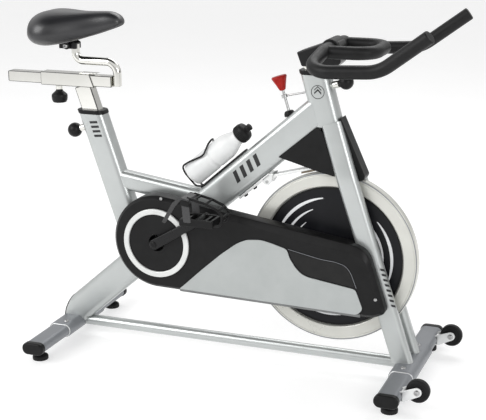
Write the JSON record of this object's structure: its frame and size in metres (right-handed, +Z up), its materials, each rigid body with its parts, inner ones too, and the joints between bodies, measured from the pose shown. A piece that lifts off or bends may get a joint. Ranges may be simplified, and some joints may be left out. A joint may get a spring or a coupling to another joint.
{
  "type": "indoor spin bike",
  "caption": "Indoor spin bike with a fork-mounted flywheel, enclosed chain drive, sliding saddle, looped handlebar, push-down brake and bottle.",
  "frame": {"origin": "on the floor, under the middle of the bike's overall length and width", "axes": "+X the way the rider faces, +Y to the rider's left, +Z up"},
  "size_m": [1.214, 0.504, 0.9153],
  "materials": {
    "silver_paint": "satin silver powder coat",
    "grey_paint": "satin grey powder coat",
    "chrome": "polished chrome plate",
    "steel": "machined steel",
    "flywheel_iron": "machined rim with a black painted disc",
    "black_plastic": "moulded black plastic",
    "gloss_black": "gloss black paint",
    "grip_rubber": "dipped black grip coating",
    "rubber": "solid black rubber",
    "saddle_vinyl": "smooth black vinyl over foam",
    "red_plastic": "gloss red",
    "bottle_plastic": "translucent white squeeze plastic",
    "felt": "pressed felt"
  },
  "bodies": {
    "frame": {"main_beam": "silver_paint", "seat_tube": "silver_paint", "brace_tube": "silver_paint", "head_tube": "silver_paint", "fork_leg_left": "silver_paint", "fork_leg_right": "silver_paint", "floor_bar": "silver_paint", "guard_panel": "silver_paint", "chain_guard": "black_plastic", "rear_stabilizer_sleeve": "grey_paint", "front_stabilizer_sleeve": "grey_paint", "rear_stabilizer_tube": "grey_paint", "front_stabilizer_tube": "grey_paint", "end_cap_rear_left": "black_plastic", "end_cap_rear_right": "black_plastic", "end_cap_front_left": "black_plastic", "end_cap_front_right": "black_plastic", "seat_tube_collar": "black_plastic", "head_tube_collar": "black_plastic", "rear_shroud": "black_plastic", "front_shroud": "black_plastic", "brake_bracket": "gloss_black", "flywheel_axle": "steel", "drive_chain": "steel", "bottle_cage": "gloss_black"},
    "foot_rear_left": {"levelling_foot_rear_left": "rubber"},
    "foot_rear_right": {"levelling_foot_rear_right": "rubber"},
    "foot_front_left": {"levelling_foot_front_left": "rubber"},
    "foot_front_right": {"levelling_foot_front_right": "rubber"},
    "wheel_left": {"transport_wheel_left": "rubber"},
    "wheel_right": {"transport_wheel_right": "rubber"},
    "flywheel": {"flywheel": "flywheel_iron", "flywheel_sprocket": "steel"},
    "crankset": {"crank_axle": "steel", "chainring": "steel", "crank_arm_left": "gloss_black", "crank_arm_right": "gloss_black"},
    "pedal_left": {"pedal_left": "black_plastic", "toe_cage_left": "black_plastic"},
    "pedal_right": {"pedal_right": "black_plastic", "toe_cage_right": "black_plastic"},
    "seat_post": {"seat_post": "chrome"},
    "seat_slider": {"seat_slider_bar": "chrome", "saddle_post": "chrome"},
    "saddle": {"saddle": "saddle_vinyl", "saddle_rails": "steel", "saddle_clamp": "black_plastic"},
    "seat_height_pin": {"seat_height_pin": "black_plastic"},
    "seat_slider_pin": {"seat_slider_pin": "black_plastic"},
    "handlebar_height_pin": {"handlebar_height_pin": "black_plastic"},
    "handlebar": {"handlebar_post": "chrome", "handlebar_stem": "gloss_black", "outer_handlebar": "grip_rubber", "inner_handlebar": "grip_rubber"},
    "brake_rod": {"resistance_rod": "steel"},
    "resistance_knob": {"resistance_knob": "red_plastic"},
    "brake_arm": {"brake_arm": "steel", "brake_pad": "felt"},
    "bottle": {"water_bottle": "bottle_plastic"},
    "bottle_cap": {"bottle_cap": "black_plastic"}
  },
  "joints": [
    {"name": "flywheel_spin", "type": "hinge", "parent": "frame", "child": "flywheel", "pos_m": [0.3055, 0, 0.304], "axis": [0, 1, 0], "continuous": true},
    {"name": "crank_spin", "type": "hinge", "parent": "frame", "child": "crankset", "pos_m": [-0.1475, 0, 0.316], "axis": [0, 1, 0], "continuous": true},
    {"name": "left_pedal_spin", "type": "hinge", "parent": "crankset", "child": "pedal_left", "pos_m": [-0.29447, 0.139, 0.22664], "axis": [0, 1, 0], "continuous": true},
    {"name": "right_pedal_spin", "type": "hinge", "parent": "crankset", "child": "pedal_right", "pos_m": [-0.00053, -0.139, 0.40536], "axis": [0, 1, 0], "continuous": true},
    {"name": "left_wheel_spin", "type": "hinge", "parent": "frame", "child": "wheel_left", "pos_m": [0.5785, 0.19, 0.056], "axis": [0, 1, 0], "continuous": true},
    {"name": "right_wheel_spin", "type": "hinge", "parent": "frame", "child": "wheel_right", "pos_m": [0.5785, -0.19, 0.056], "axis": [0, 1, 0], "continuous": true},
    {"name": "seat_height", "type": "slide", "parent": "frame", "child": "seat_post", "axis": [-0.3178, 0, 0.9482], "range_m": [-0.04, 0.14]},
    {"name": "seat_fore_aft", "type": "slide", "parent": "seat_post", "child": "seat_slider", "axis": [1, 0, 0], "range_m": [-0.04, 0.085]},
    {"name": "saddle_swivel", "type": "hinge", "parent": "seat_slider", "child": "saddle", "pos_m": [-0.4075, 0, 0.812], "axis": [0, 0, 1], "range_deg": [-10, 10]},
    {"name": "seat_height_pin_pull", "type": "slide", "parent": "frame", "child": "seat_height_pin", "axis": [-0.9482, 0, -0.3178], "range_m": [0, 0.01], "stiffness_N_per_m": 600, "springref_m": -0.008},
    {"name": "seat_slider_pin_pull", "type": "slide", "parent": "seat_post", "child": "seat_slider_pin", "axis": [0, 0, -1], "range_m": [0, 0.01], "stiffness_N_per_m": 600, "springref_m": -0.008},
    {"name": "handlebar_pin_pull", "type": "slide", "parent": "frame", "child": "handlebar_height_pin", "axis": [0.9621, 0, 0.2726], "range_m": [0, 0.01], "stiffness_N_per_m": 600, "springref_m": -0.008},
    {"name": "handlebar_height", "type": "slide", "parent": "frame", "child": "handlebar", "axis": [-0.2726, 0, 0.9621], "range_m": [0, 0.055]},
    {"name": "brake_push", "type": "slide", "parent": "frame", "child": "brake_rod", "axis": [0.2978, 0, -0.9546], "range_m": [0, 0.0035], "stiffness_N_per_m": 3000, "springref_m": -0.004},
    {"name": "knob_turn", "type": "hinge", "parent": "brake_rod", "child": "resistance_knob", "pos_m": [0.16944, 0, 0.72209], "axis": [0.2978, 0, -0.9546], "range_deg": [-360, 360]},
    {"name": "brake_arm_swing", "type": "hinge", "parent": "frame", "child": "brake_arm", "pos_m": [0.1345, 0, 0.489], "axis": [0, 1, 0], "range_deg": [0, 1.97]},
    {"name": "bottle_lift", "type": "slide", "parent": "frame", "child": "bottle", "axis": [0.7547, 0, 0.6561], "range_m": [0, 0.1]},
    {"name": "bottle_cap_turn", "type": "hinge", "parent": "bottle", "child": "bottle_cap", "pos_m": [0.06216, 0, 0.6069], "axis": [0.7547, 0, 0.6561], "range_deg": [-360, 360]},
    {"name": "rear_left_foot_turn", "type": "hinge", "parent": "frame", "child": "foot_rear_left", "pos_m": [-0.4375, 0.21, 0.008], "axis": [0, 0, 1], "range_deg": [-180, 180]},
    {"name": "rear_right_foot_turn", "type": "hinge", "parent": "frame", "child": "foot_rear_right", "pos_m": [-0.4375, -0.21, 0.008], "axis": [0, 0, 1], "range_deg": [-180, 180]},
    {"name": "front_left_foot_turn", "type": "hinge", "parent": "frame", "child": "foot_front_left", "pos_m": [0.5145, 0.21, 0.008], "axis": [0, 0, 1], "range_deg": [-180, 180]},
    {"name": "front_right_foot_turn", "type": "hinge", "parent": "frame", "child": "foot_front_right", "pos_m": [0.5145, -0.21, 0.008], "axis": [0, 0, 1], "range_deg": [-180, 180]}
  ],
  "couplings": [
    {"joint": "crank_spin", "follows": "flywheel_spin", "ratio": 0.33},
    {"joint": "brake_arm_swing", "follows": "brake_push", "rad_per_m": 9.8038}
  ]
}
